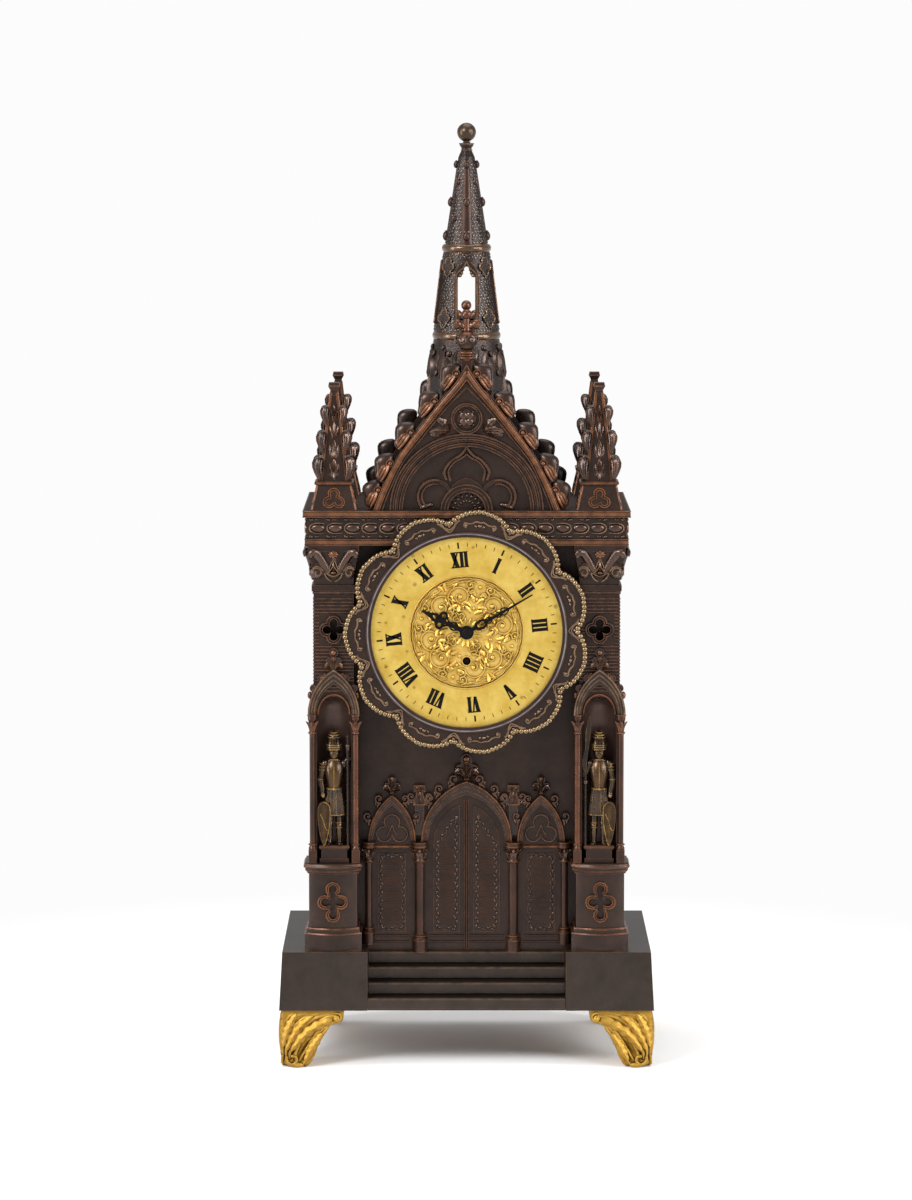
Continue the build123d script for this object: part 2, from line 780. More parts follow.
def gable(front_y, facing):
    """Gable wall with a moulded rake, nested arches, a trefoil and leaf crockets."""
    base = Plane(origin=(0, front_y, entablature_top), x_dir=(-facing, 0, 0), z_dir=(0, facing, 0))
    with BuildPart() as built:
        with BuildSketch(base):
            gable_face(0)
        extrude(amount=-gable_thickness)
        with BuildSketch(base):
            for side in (-1, 1):
                for x, z, radius in crocket_circles():
                    with Locations((side * x, max(z, radius))):
                        Circle(radius)
            with Locations((0, gable_height - 4.0)):
                Rectangle(7.0, 9.0)
        extrude(amount=-gable_thickness)
        # Raised rake and a second thinner moulding inside it
        with BuildSketch(base):
            gable_face(0.6)
            gable_face(0.6 + gable_band, mode=Mode.SUBTRACT)
        extrude(amount=2.8)
        with BuildSketch(base):
            gable_face(gable_band + 1.2)
            gable_face(gable_band + 2.8, mode=Mode.SUBTRACT)
        extrude(amount=1.4)
        # Round arch of three rings over a sunk tympanum
        radius = 0.81 * gable_half_width
        for ring in range(3):
            with BuildSketch(base):
                Circle(radius - 3.0 * ring)
                Circle(radius - 3.0 * ring - 2.0, mode=Mode.SUBTRACT)
                with Locations((0, 0)):
                    Rectangle(3 * radius, 2 * radius, align=(Align.CENTER, Align.MAX), mode=Mode.SUBTRACT)
            extrude(amount=1.9 - 0.4 * ring)
        with BuildSketch(base):
            Circle(radius - 8.2)
            Rectangle(3 * radius, 2 * radius, align=(Align.CENTER, Align.MAX), mode=Mode.SUBTRACT)
        extrude(amount=-2.0, mode=Mode.SUBTRACT)
        # Ogee trefoil and the small round arch in the tympanum
        tympanum = Plane(
            origin=(0, front_y - facing * 2.0, entablature_top), x_dir=(-facing, 0, 0), z_dir=(0, facing, 0)
        )
        for grow, mode, height in ((0.0, Mode.ADD, 2.6), (-2.2, Mode.SUBTRACT, 2.6)):
            with BuildSketch(tympanum):
                with Locations((-21.0, 9.0), (21.0, 9.0)):
                    Circle(11.6 + grow)
                with Locations((0, 19.0)):
                    pointed_arch(14.2 + grow, 4.0, 21.5 + 1.6 * grow, bottom=-14.0)
                Rectangle(3 * radius, 2 * radius, align=(Align.CENTER, Align.MAX), mode=Mode.SUBTRACT)
            extrude(amount=height, mode=mode)
        with BuildSketch(tympanum):
            Circle(17.4)
            Circle(12.0, mode=Mode.SUBTRACT)
            Rectangle(3 * radius, 2 * radius, align=(Align.CENTER, Align.MAX), mode=Mode.SUBTRACT)
        extrude(amount=3.4)
        # Round medallion with a quatrefoil
        with BuildSketch(base):
            with Locations((0, 0.617 * gable_height)):
                Circle(10.4)
                Circle(8.2, mode=Mode.SUBTRACT)
        extrude(amount=2.2)
        with BuildSketch(
            Plane(
                origin=(0, front_y, entablature_top + 0.617 * gable_height),
                x_dir=(-facing, 0, 0),
                z_dir=(0, facing, 0),
            )
        ):
            quatrefoil(2.9, 3.0, 3.0)
        extrude(amount=1.6)
    return built


gable_front_y = entablature_front_y + 7.5
gable_back_y = entablature_back_y - 7.5
save(gable(gable_front_y, -1), "front_gable")
save(gable(gable_back_y, 1), "rear_gable")

# Leaf finial on each gable: collar, leaf ball, two side lobes and a top ball
with BuildPart() as gable_finials:
    for y in (gable_front_y + gable_thickness / 2, gable_back_y - gable_thickness / 2):
        foot_z = entablature_top + gable_height + 0.5
        with BuildSketch(Plane(origin=(0, y, foot_z), x_dir=(1, 0, 0), z_dir=(0, -1, 0))):
            with BuildLine():
                Polyline((0, 0), (4.2, 0), (5.4, 1.8), (4.0, 3.4), (5.2, 5.2), (3.6, 7.0))
                ThreePointArc((3.6, 7.0), (7.2, 13.2), (2.6, 19.4))
                Polyline((2.6, 19.4), (1.9, 28.0), (0, 28.0), (0, 0))
            make_face()
        revolve(axis=Axis((0, y, foot_z), (0, 0, 1)))
        with Locations((-6.0, y, foot_z + 23.6), (6.0, y, foot_z + 23.6)):
            Sphere(3.4)
        with Locations((0, y, foot_z + 23.2)):
            Box(11.0, 2.6, 2.6)
        with Locations((0, y, foot_z + 30.0)):
            Sphere(3.5)
save(gable_finials, "gable_finials")


def pinnacle(x, y):
    """Crocketed pinnacle: flared pedestal, moulding, ribbed pyramid, corner leaves and cap."""
    foot_z = entablature_top
    pedestal = 0.20 * pinnacle_height
    shaft_z = foot_z + pedestal + 2.6
    cap_z = foot_z + 0.92 * pinnacle_height
    with BuildPart() as built:
        with BuildSketch(Plane(origin=(x, y, foot_z))):
            Rectangle(29.6, 29.6)
        with BuildSketch(Plane(origin=(x, y, foot_z + pedestal))):
            Rectangle(22.0, 22.0)
        loft()
        with Locations((x, y, foot_z + pedestal)):
            Box(23.6, 23.6, 2.6, align=(Align.CENTER, Align.CENTER, Align.MIN))
        with BuildSketch(Plane(origin=(x, y, shaft_z))):
            Rectangle(18.4, 18.4)
        with BuildSketch(Plane(origin=(x, y, cap_z))):
            Rectangle(5.2, 5.2)
        loft()
        # Sunk faces leave a rib along every corner
        for turn in range(4):
            out = (cos(turn * pi / 2), sin(turn * pi / 2), 0)
            side = (-sin(turn * pi / 2), cos(turn * pi / 2), 0)
            low = Plane(origin=(x + 9.2 * out[0], y + 9.2 * out[1], shaft_z + 1.6), x_dir=side, z_dir=out)
            with BuildSketch(low):
                with BuildLine():
                    Polyline((-6.4, 0), (6.4, 0), (0, 0.72 * (cap_z - shaft_z)), close=True)
                make_face()
            extrude(amount=-1.3, taper=0, mode=Mode.SUBTRACT)
        for level, size in ((0.14, 4.4), (0.45, 3.9), (0.76, 3.3)):
            z = shaft_z + level * (cap_z - shaft_z)
            reach = 9.2 + (2.6 - 9.2) * level + 0.9
            with Locations(*[(x + sx * reach, y + sy * reach, z) for sx in (-1, 1) for sy in (-1, 1)]):
                Sphere(size)
        with Locations((x, y, cap_z)):
            Box(7.4, 7.4, 0.08 * pinnacle_height, align=(Align.CENTER, Align.CENTER, Align.MIN))
    return built


corner_pinnacles = [
    pinnacle(side * pinnacle_x, y) for side in (-1, 1) for y in (pinnacle_front_y, pinnacle_back_y)
]
with BuildPart() as pinnacles:
    for corner_pinnacle in corner_pinnacles:
        add(corner_pinnacle.part)
save(pinnacles, "pinnacles")

# Spire drum, which rises from the deck through the roof
spire_hollow = 5.0
with BuildPart() as spire_drum:
    with BuildSketch(Plane.XZ):
        with BuildLine():
            Polyline(
                (0, entablature_top),
                (drum_bottom_radius + 1.2, entablature_top),
                (drum_bottom_radius + 0.4, ring_z - 24.0),
                (drum_top_radius, ring_z),
                (0, ring_z),
                close=True,
            )
        make_face()
    revolve(axis=Axis.Z)
    with Locations((0, 0, entablature_top)):
        Cylinder(
            drum_bottom_radius - spire_hollow,
            drum_height - 4.0,
            align=(Align.CENTER, Align.CENTER, Align.MIN),
            mode=Mode.SUBTRACT,
        )
save(spire_drum, "spire_drum")

# Steep roof between the gables, two slopes that meet in a ridge, with the spire drum passing through
with BuildPart() as saddle_roof:
    eaves = gable_half_width - 6.0
    ridge = 0.86 * gable_height
    roof_front_y = gable_front_y + gable_thickness
    roof_back_y = gable_back_y - gable_thickness
    thick_x = roof_thickness * hypot(eaves, ridge) / ridge
    thick_z = roof_thickness * hypot(eaves, ridge) / eaves
    with BuildSketch(
        Plane(origin=(0, roof_back_y, entablature_top), x_dir=(1, 0, 0), z_dir=(0, -1, 0))
    ):
        with BuildLine():
            Polyline(
                (-eaves, 0),
                (0, ridge),
                (eaves, 0),
                (eaves - thick_x, 0),
                (0, ridge - thick_z),
                (thick_x - eaves, 0),
                close=True,
            )
        make_face()
    extrude(amount=roof_back_y - roof_front_y)
    with Locations((0, 0, entablature_top)):
        Cylinder(
            drum_bottom_radius + 1.2 + seat_gap,
            2 * drum_height,
            align=(Align.CENTER, Align.CENTER, Align.MIN),
            mode=Mode.SUBTRACT,
        )
save(saddle_roof, "saddle_roof")

# Two rings, one below and one above the belfry
with BuildPart() as spire_rings:
    for z, radius in ((ring_z, belfry_bottom_radius), (upper_ring_z, belfry_top_radius)):
        with BuildSketch(Plane.XZ):
            with BuildLine():
                Line((0, z), (radius - 0.2, z))
                ThreePointArc(
                    (radius - 0.2, z),
                    (radius + 1.0, z + spire_ring_height / 2),
                    (radius - 0.2, z + spire_ring_height),
                )
                Polyline((radius - 0.2, z + spire_ring_height), (0, z + spire_ring_height), (0, z))
            make_face()
        revolve(axis=Axis.Z)
save(spire_rings, "spire_rings")

# Belfry: a hollow tapering drum with four lancet windows that show the sky through
with BuildPart() as belfry:
    with BuildSketch(Plane.XZ):
        with BuildLine():
            Polyline(
                (belfry_bottom_radius - belfry_wall, belfry_z),
                (belfry_bottom_radius, belfry_z),
                (belfry_top_radius, upper_ring_z),
                (belfry_top_radius - belfry_wall, upper_ring_z),
                close=True,
            )
        make_face()
    revolve(axis=Axis.Z)
    window_half = window_width / 2
    sill = 0.15 * belfry_height
    window_spring = 0.66 * belfry_height
    window_apex = 0.84 * belfry_height
    # Flat moulded frames around the windows, leaning with the taper
    taper = atan2(belfry_bottom_radius - belfry_top_radius, belfry_height)
    for turn in range(4):
        out = (sin(turn * pi / 2), -cos(turn * pi / 2), 0)
        side = (cos(turn * pi / 2), sin(turn * pi / 2), 0)
        frame_plane = Plane(
            origin=((belfry_bottom_radius + 0.5) * out[0], (belfry_bottom_radius + 0.5) * out[1], belfry_z),
            x_dir=side,
            z_dir=(out[0] * cos(taper), out[1] * cos(taper), sin(taper)),
        )
        with BuildSketch(frame_plane):
            pointed_arch(window_half + 2.4, window_spring, window_apex + 4.0, bottom=sill - 2.4)
        extrude(amount=-belfry_wall)
    for turn in range(2):
        out = (sin(turn * pi / 2), -cos(turn * pi / 2), 0)
        side = (cos(turn * pi / 2), sin(turn * pi / 2), 0)
        with BuildSketch(Plane(origin=(0, 0, belfry_z), x_dir=side, z_dir=out)):
            pointed_arch(window_half, window_spring, window_apex - 3.0, bottom=sill)
            with Locations((0, window_apex - 2.4)):
                Circle(1.7)
        extrude(amount=3 * belfry_bottom_radius, both=True, mode=Mode.SUBTRACT)
    # Clear the inside again behind the frames
    with Locations((0, 0, belfry_z)):
        Cone(
            belfry_bottom_radius - belfry_wall,
            belfry_top_radius - belfry_wall,
            belfry_height,
            align=(Align.CENTER, Align.CENTER, Align.MIN),
            mode=Mode.SUBTRACT,
        )
    # Pointed quatrefoils on the diagonals, above and below
    for turn in range(4):
        angle = (turn + 0.5) * pi / 2
        out = (cos(angle), sin(angle), 0)
        side = (-sin(angle), cos(angle), 0)
        for level in (0.18, 0.82):
            radius = belfry_bottom_radius + level * (belfry_top_radius - belfry_bottom_radius)
            spot = Plane(
                origin=((radius - 2.2) * out[0], (radius - 2.2) * out[1], belfry_z + level * belfry_height),
                x_dir=side,
                z_dir=out,
            )
            with BuildSketch(spot):
                quatrefoil(2.4, 2.2, 3.0)
            extrude(amount=3.0)
save(belfry, "belfry")

# Cone of the spire with staggered buds, a collar on top and the ball above it
with BuildPart() as spire_cone:
    cone_top_z = cone_z + spire_cone_height
    shoulder_level = 0.83
    collar_radius = cone_top_radius + 0.9
    collar_height = 3.4
    with BuildSketch(Plane.XZ):
        with BuildLine():
            Polyline(
                (0, cone_z),
                (cone_bottom_radius, cone_z),
                (cone_shoulder_radius, cone_z + shoulder_level * spire_cone_height),
                (cone_shoulder_radius - 0.9, cone_z + 0.91 * spire_cone_height),
                (cone_top_radius - 0.4, cone_z + 0.98 * spire_cone_height),
                (cone_top_radius - 0.4, cone_top_z),
                (collar_radius, cone_top_z + 0.6 * collar_height),
                (collar_radius, cone_top_z + collar_height),
                (0, cone_top_z + collar_height),
                close=True,
            )
        make_face()
    revolve(axis=Axis.Z)
    for row, (level, size) in enumerate(((0.10, 2.3), (0.28, 1.7), (0.45, 2.2), (0.66, 1.6), (0.84, 1.8))):
        share = min(level / shoulder_level, 1.0)
        radius = cone_bottom_radius + share * (cone_shoulder_radius - cone_bottom_radius)
        with Locations((0, 0, cone_z + level * spire_cone_height)):
            with PolarLocations(radius + 0.2, 4, start_angle=45 * (row % 2)):
                Sphere(size)
save(spire_cone, "spire_cone")

with BuildPart() as spire_ball:
    stem_z = cone_top_z + collar_height
    with Locations((0, 0, stem_z)):
        Cylinder(1.9, 4.0, align=(Align.CENTER, Align.CENTER, Align.MIN))
    with Locations((0, 0, stem_z + 0.9 + ball_radius)):
        Sphere(ball_radius)
save(spire_ball, "spire_ball")

# Scalloped bezel with a round opening and a seat for the dial behind
with BuildPart() as bezel:
    lobe_pitch = 360 / bezel_lobes
    first_cusp = 23.4
    with BuildSketch(dial_plane(bezel_back_y)):
        with BuildLine():
            for lobe in range(bezel_lobes):
                start = radians(90 - first_cusp - lobe * lobe_pitch)
                end = start - radians(lobe_pitch)
                middle = (start + end) / 2
                ThreePointArc(
                    (bezel_cusp_radius * cos(start), bezel_cusp_radius * sin(start)),
                    (bezel_peak_radius * cos(middle), bezel_peak_radius * sin(middle)),
                    (bezel_cusp_radius * cos(end), bezel_cusp_radius * sin(end)),
                )
        make_face()
        Circle(dial_opening, mode=Mode.SUBTRACT)
    extrude(amount=bezel_thickness - 1.6)
    with BuildSketch(dial_plane(bezel_back_y)):
        Circle(dial_radius + slip)
    extrude(amount=bezel_back_y - dial_face_y, mode=Mode.SUBTRACT)
    # Polished inner lip
    with BuildSketch(dial_plane(dial_face_y)):
        Circle(dial_opening + 3.4)
        Circle(dial_opening, mode=Mode.SUBTRACT)
    extrude(amount=dial_face_y - bezel_front_y)
save(bezel, "bezel")

# Gilt dial with a raised centre, a centre hole and the winding hole
with BuildPart() as dial:
    with BuildSketch(dial_plane(dial_back_y)):
        Circle(dial_radius)
    extrude(amount=dial_thickness)
    with BuildSketch(dial_plane(dial_face_y)):
        Circle(0.60 * dial_opening)
        Circle(0.585 * dial_opening, mode=Mode.SUBTRACT)
    extrude(amount=0.4)
    with BuildSketch(dial_plane(dial_back_y)):
        Circle(3.4)
        with Locations((0, -winding_drop)):
            Circle(winding_hole_radius)
    extrude(amount=10, both=True, mode=Mode.SUBTRACT)
save(dial, "dial")

# Drum behind the dial: front flange, tube through the facade, inner ledge for the movement, rear flange
tube_back_y = facade_y + wall + 2.0
with BuildPart() as movement_drum:
    with BuildSketch(dial_plane(bezel_back_y)):
        Circle(dial_radius)
        Circle(drum_outer_radius - drum_wall, mode=Mode.SUBTRACT)
    extrude(amount=bezel_back_y - dial_back_y)
    with BuildSketch(dial_plane(tube_back_y)):
        Circle(drum_outer_radius)
        Circle(drum_outer_radius - drum_wall, mode=Mode.SUBTRACT)
    extrude(amount=tube_back_y - bezel_back_y)
    with BuildSketch(dial_plane(front_plate_y + 2.0)):
        Circle(drum_outer_radius - 0.5)
        Circle(drum_outer_radius - drum_wall - 4.0, mode=Mode.SUBTRACT)
    extrude(amount=2.0)
    with BuildSketch(dial_plane(tube_back_y)):
        Circle(drum_outer_radius + 4.0)
        Circle(drum_outer_radius - 0.5, mode=Mode.SUBTRACT)
    extrude(amount=2.0)
save(movement_drum, "movement_drum")

# Figures of the niches
figure_y = tower_front_y + 0.6
spear_offset = -9.0
spear_y = figure_y - 2.8
spear_radius = 0.8
shield_offset = 6.6
shield_back_y = figure_y - 3.6


def limb(start, end, start_radius, end_radius):
    """Tapered round limb between two points with rounded ends, in the active part."""
    axis = Vector(*end) - Vector(*start)
    with Locations(Plane(origin=start, z_dir=axis)):
        Cone(start_radius, end_radius, axis.length, align=(Align.CENTER, Align.CENTER, Align.MIN))
    with Locations(start):
        Sphere(start_radius)
    with Locations(end):
        Sphere(end_radius)


def knight(side, hand_height, elbow_height):
    """Standing knight in plain armour; u runs outward from the middle of the niche."""

    def at(u, depth, height):
        return (side * (tower_x + u), figure_y + depth, figure_z + height)

    def oval(height, across, deep, depth=0.0):
        with BuildSketch(Plane(origin=at(0, depth, height))) as ring:
            Ellipse(across, deep)
        return ring.sketch

    with BuildPart() as built:
        # Pleated skirt, breastplate and shoulders as one flowing trunk
        loft([oval(20, 6.6, 4.4), oval(37.5, 4.3, 3.2)])
        loft([oval(37.0, 4.6, 3.5), oval(46, 6.2, 4.4)])
        loft([oval(45.8, 6.15, 4.35), oval(56.6, 4.6, 3.0)])
        with Locations(at(0, 0, 56)):
            Cylinder(2.2, 4.6, align=(Align.CENTER, Align.CENTER, Align.MIN))
        # Legs with greaves and pointed shoes
        for leg in (-1, 1):
            limb(at(2.7 * leg, 0.2, 24), at(3.1 * leg, -0.2, 13.5), 2.6, 2.0)
            limb(at(3.1 * leg, -0.2, 13.5), at(3.3 * leg, 0.4, 2.0), 2.1, 1.5)
            limb(at(3.3 * leg, 0.4, 1.5), at(4.0 * leg, -3.4, 1.0), 1.5, 1.0)
        # Head with helmet, brow band, nose and plume
        with Locations(at(0, -0.2, 62.4)):
            Sphere(3.5)
        with Locations(at(0, -3.7, 61.9)):
            Sphere(0.75)
        with Locations(at(0, 0, 64.6)):
            Sphere(4.2, arc_size1=0, align=(Align.CENTER, Align.CENTER, Align.MIN))
            Cylinder(4.6, 0.9)
        limb(at(0, 0.2, 68.2), at(0, 2.4, 74.2), 1.3, 2.0)
        limb(at(0, 2.4, 74.2), at(0, 4.8, 68.0), 2.0, 0.9)
        # Outer arm down on the shield, inner arm up to the spear
        limb(at(6.6, 0, 53.5), at(8.6, 0.6, 44.0), 2.5, 1.7)
        limb(at(8.6, 0.6, 44.0), at(7.4, -1.8, 34.5), 1.8, 1.4)
        hand = at(spear_offset, spear_y - figure_y, hand_height)
        limb(at(-6.6, 0, 53.5), at(-9.4, 0.8, elbow_height), 2.5, 1.7)
        limb(at(-9.4, 0.8, elbow_height), hand, 1.7, 1.5)
        # Belt
        with BuildSketch(Plane(origin=at(0, 0, 36.4))):
            Ellipse(5.0, 3.9)
        extrude(amount=2.0)
        # Grip for the spear, flat soles, and room for the shield in front
        with Locations(at(spear_offset, spear_y - figure_y, 0)):
            Cylinder(spear_radius + 0.1, 300, mode=Mode.SUBTRACT)
        with Locations(at(0, 0, 0)):
            Box(60, 60, 20, align=(Align.CENTER, Align.CENTER, Align.MAX), mode=Mode.SUBTRACT)
        with Locations((side * (tower_x + shield_offset), shield_back_y, figure_z)):
            Box(12, 20, 32, align=(Align.CENTER, Align.MAX, Align.MIN), mode=Mode.SUBTRACT)
    return built


save(knight(-1, 66.0, 58.0), "knight_left")
save(knight(1, 42.0, 45.5), "knight_right")

# A plain staff at the left, a spear with a flame blade at the right
with BuildPart() as spears:
    for side, top in ((-1, 73.0), (1, 50.0)):
        with Locations((side * (tower_x + spear_offset), spear_y, figure_z)):
            Cylinder(spear_radius, top, align=(Align.CENTER, Align.CENTER, Align.MIN))
    blade = Plane(
        origin=(tower_x + spear_offset, spear_y + 0.7, figure_z + 49.0), x_dir=(1, 0, 0), z_dir=(0, -1, 0)
    )
    with BuildSketch(blade):
        with BuildLine():
            Spline((-0.6, 0), (-2.2, 7), (-0.2, 16), (0.4, 26), (3.0, 38))
            Spline((3.0, 38), (3.4, 27), (2.2, 17), (1.0, 8), (0.6, 0))
            Line((0.6, 0), (-0.6, 0))
        make_face()
    extrude(amount=1.4)

# Kite shields that stand on the pedestals
with BuildPart() as shields:
    for side in (-1, 1):
        with BuildSketch(
            Plane(
                origin=(side * (tower_x + shield_offset), shield_back_y - 0.05, figure_z),
                x_dir=(1, 0, 0),
                z_dir=(0, -1, 0),
            )
        ):
            with BuildLine():
                Line((-0.6, 0), (0.6, 0))
                Spline((0.6, 0), (3.6, 12), (4.3, 22), (3.6, 27))
                ThreePointArc((3.6, 27), (0, 29.4), (-3.6, 27))
                Spline((-3.6, 27), (-4.3, 22), (-3.6, 12), (-0.6, 0))
            make_face()
        extrude(amount=1.3)
with BuildPart() as knight_arms:
    add(spears.part)
    add(shields.part)
save(knight_arms, "knight_arms")

# Hands: blued steel, pierced; each is drawn pointing up on its own turned plane
hand_thickness = 0.8
hour_hand_y = dial_face_y - 1.3
minute_hand_y = hour_hand_y - hand_thickness - 0.9
pipe_radius = 2.9
cannon_radius = 1.9
fit = 0.05
with BuildPart() as hour_hand:
    with BuildSketch(dial_plane(hour_hand_y, hour_hand_angle)):
        length = hour_hand_length
        Circle(4.6)
        with Locations((0, 3.0)):
            Trapezoid(3.4, 0.86 * length, 87.6, align=(Align.CENTER, Align.MIN))
        with Locations((-3.0, 0.56 * length), (3.0, 0.56 * length), (0, 0.70 * length)):
            Circle(2.9)
        with Locations((0, 0.76 * length)):
            Trapezoid(4.2, 0.24 * length, 77, align=(Align.CENTER, Align.MIN))
        with Locations((-3.2, 0.56 * length), (3.2, 0.56 * length), (0, 0.71 * length)):
            Circle(1.3, mode=Mode.SUBTRACT)
        Circle(pipe_radius + fit, mode=Mode.SUBTRACT)
    extrude(amount=hand_thickness)
save(hour_hand, "hour_hand")

with BuildPart() as minute_hand:
    with BuildSketch(dial_plane(minute_hand_y, minute_hand_angle)):
        length = minute_hand_length
        Circle(3.8)
        with Locations((0, 2.0)):
            Trapezoid(2.8, length - 2.0, 88.8, align=(Align.CENTER, Align.MIN))
        with Locations((0, 0.22 * length)):
            Ellipse(3.2, 5.0)
        with Locations((0, 0.55 * length)):
            with BuildLine():
                Polyline((-2.9, 0), (0, -6.0), (2.9, 0), (0, 6.0), close=True)
            make_face()
        with Locations((0, 0.22 * length)):
            Ellipse(1.7, 3.2, mode=Mode.SUBTRACT)
        Circle(cannon_radius + fit, mode=Mode.SUBTRACT)
    extrude(amount=hand_thickness)
save(minute_hand, "minute_hand")

# Domed collet that holds the hands on the cannon tube
collet_y = minute_hand_y - hand_thickness - 0.05
with BuildPart() as hand_collet:
    with BuildSketch(dial_plane(collet_y)):
        Circle(2.7)
    extrude(amount=0.9)
    fillet(hand_collet.faces().sort_by(Axis.Y)[0].edges(), radius=0.5)
save(hand_collet, "hand_collet")

# Going train and motion work: tooth counts, modules and the arbors they set
great_teeth, intermediate_pinion_teeth, great_module = 60, 10, 0.5
intermediate_teeth, centre_pinion_teeth, intermediate_module = 60, 10, 0.45
centre_teeth, third_pinion_teeth, centre_module = 84, 8, 0.32
third_teeth, escape_pinion_teeth, third_module = 80, 8, 0.30
cannon_teeth, minute_wheel_teeth, cannon_module = 12, 36, 0.45
minute_pinion_teeth, hour_teeth, minute_module = 12, 48, 0.36
escape_teeth, escape_radius = 40, 8.0
ratchet_teeth, ratchet_radius = 24, 6.0


def spread(first, second, module):
    """Distance between the arbors of two meshing gears."""
    return (first + second) * module / 2


def corner(start, end, from_start, from_end, turn):
    """Point at given distances from two others, left (+1) or right (-1) of the line between."""
    gap = hypot(end[0] - start[0], end[1] - start[1])
    run = (from_start**2 - from_end**2 + gap**2) / (2 * gap)
    off = turn * sqrt(from_start**2 - run**2)
    ux, uz = (end[0] - start[0]) / gap, (end[1] - start[1]) / gap
    return (start[0] + run * ux - off * uz, start[1] + run * uz + off * ux)


centre_at = (0.0, 0.0)
barrel_at = (0.0, -winding_drop)
intermediate_at = corner(
    barrel_at,
    centre_at,
    spread(great_teeth, intermediate_pinion_teeth, great_module),
    spread(intermediate_teeth, centre_pinion_teeth, intermediate_module),
    -1,
)
escape_at = (0.0, 22.2)
third_at = corner(
    centre_at,
    escape_at,
    spread(centre_teeth, third_pinion_teeth, centre_module),
    spread(third_teeth, escape_pinion_teeth, third_module),
    1,
)
pallet_angle = 360 / escape_teeth * 5.25
anchor_at = (0.0, escape_at[1] + escape_radius / cos(radians(pallet_angle)))
minute_wheel_reach = spread(cannon_teeth, minute_wheel_teeth, cannon_module)
minute_wheel_at = (minute_wheel_reach * cos(radians(20)), minute_wheel_reach * sin(radians(20)))
click_at = (-11.0, -winding_drop + 5.0)

# Depths along the arbors
front_face_y = front_plate_y - plate_thickness
back_plate_y = front_plate_y + plate_gap
back_face_y = back_plate_y + plate_thickness
cock_y = back_face_y + 9.0
rod_y = cock_y + 5.0


def heading(start, end):
    """Direction in degrees from one arbor to another, as seen from the front."""
    return degrees(atan2(end[1] - start[1], end[0] - start[0]))


def meshed(first_teeth, first_phase, second_teeth, direction):
    """Phase of the second gear that puts its gap on the first gear's tooth."""
    turned_back = (first_phase - direction) * first_teeth / second_teeth
    return direction + 180 - turned_back - 180 / second_teeth


def involute(angle):
    return tan(angle) - angle


def gear_outline(teeth, module, phase):
    """Corner points of an involute gear with straight-sided facets on each flank."""
    slope = radians(pressure_angle)
    pitch = teeth * module / 2
    base = pitch * cos(slope)
    root = pitch - 1.05 * module
    tip = pitch + 0.8 * module
    half_tooth = pi / (2 * teeth) * (1 - tooth_thinning)
    points = []
    for tooth in range(teeth):
        middle = radians(phase) + 2 * pi * tooth / teeth
        for radius, flank in ((root, -1), (pitch, -1), (tip, -1), (tip, 1), (pitch, 1), (root, 1)):
            reach = max(radius, base)
            half = half_tooth + involute(slope) - involute(acos(base / reach))
            angle = middle + flank * half
            points.append((radius * cos(angle), radius * sin(angle)))
    return points


def saw_outline(teeth, tip, root, lean):
    """Corner points of a wheel with pointed leaning teeth."""
    pitch = 2 * pi / teeth
    points = []
    for tooth in range(teeth):
        start = tooth * pitch
        for radius, share in ((root, 0.0), (tip, lean), (tip, lean + 0.10), (root, 0.72)):
            angle = start + share * pitch
            points.append((radius * cos(angle), radius * sin(angle)))
    return points


def turned(at, front, back, radius, mode=Mode.ADD):
    """Round stretch of an arbor between two depths, in the active part."""
    with BuildSketch(dial_plane(back, x=at[0], z=at[1])) as disc:
        Circle(radius)
    extrude(disc.sketch, amount=back - front, mode=mode)


def wheel(at, front, back, points, crossings=0.0):
    """Toothed disc between two depths with five round crossings of the given size."""
    with BuildSketch(dial_plane(back, x=at[0], z=at[1])) as disc:
        with BuildLine() as outline:
            Polyline(*points, close=True)
        make_face(outline.edges())
        if crossings:
            with PolarLocations(1.95 * crossings, 5):
                Circle(crossings, mode=Mode.SUBTRACT)
    extrude(disc.sketch, amount=back - front)


def gear(at, front, back, teeth, module, phase, crossings=0.0):
    """Involute gear between two depths, in the active part."""
    wheel(at, front, back, gear_outline(teeth, module, phase), crossings)


pivot = 0.6
shoulder = 0.25
train_front = front_plate_y + shoulder
train_back = back_plate_y - shoulder

# Barrel with the great wheel at its front end; it turns freely on the winding arbor
barrel_radius = 13.2
great_y = front_plate_y + 2.0
barrel_end_y = front_plate_y + 22.0
arbor_radius = 1.8
with BuildPart() as barrel:
    gear(barrel_at, great_y, great_y + 2.0, great_teeth, great_module, 0)
    turned(barrel_at, great_y + 2.0, barrel_end_y, barrel_radius)
    turned(barrel_at, barrel_end_y, barrel_end_y + 1.0, barrel_radius - 3.0)
    turned(barrel_at, great_y - 1.0, barrel_end_y + 2.0, arbor_radius + running, Mode.SUBTRACT)
save(barrel, "barrel")

# Winding arbor: square for the key, ratchet, journal through plate and barrel, rear pivot
ratchet_y = front_face_y - 2.0
square_front_y = dial_back_y - 0.4
with BuildPart() as winding_arbor:
    with BuildSketch(dial_plane(ratchet_y, x=barrel_at[0], z=barrel_at[1])):
        Rectangle(3.0, 3.0)
    extrude(amount=ratchet_y - square_front_y)
    wheel(barrel_at, ratchet_y, ratchet_y + 1.4, saw_outline(ratchet_teeth, ratchet_radius, 5.0, 0.55))
    turned(barrel_at, ratchet_y + 1.4, back_plate_y - 4.0, arbor_radius)
    turned(barrel_at, back_plate_y - 4.0, back_face_y, 1.2)
save(winding_arbor, "winding_arbor")

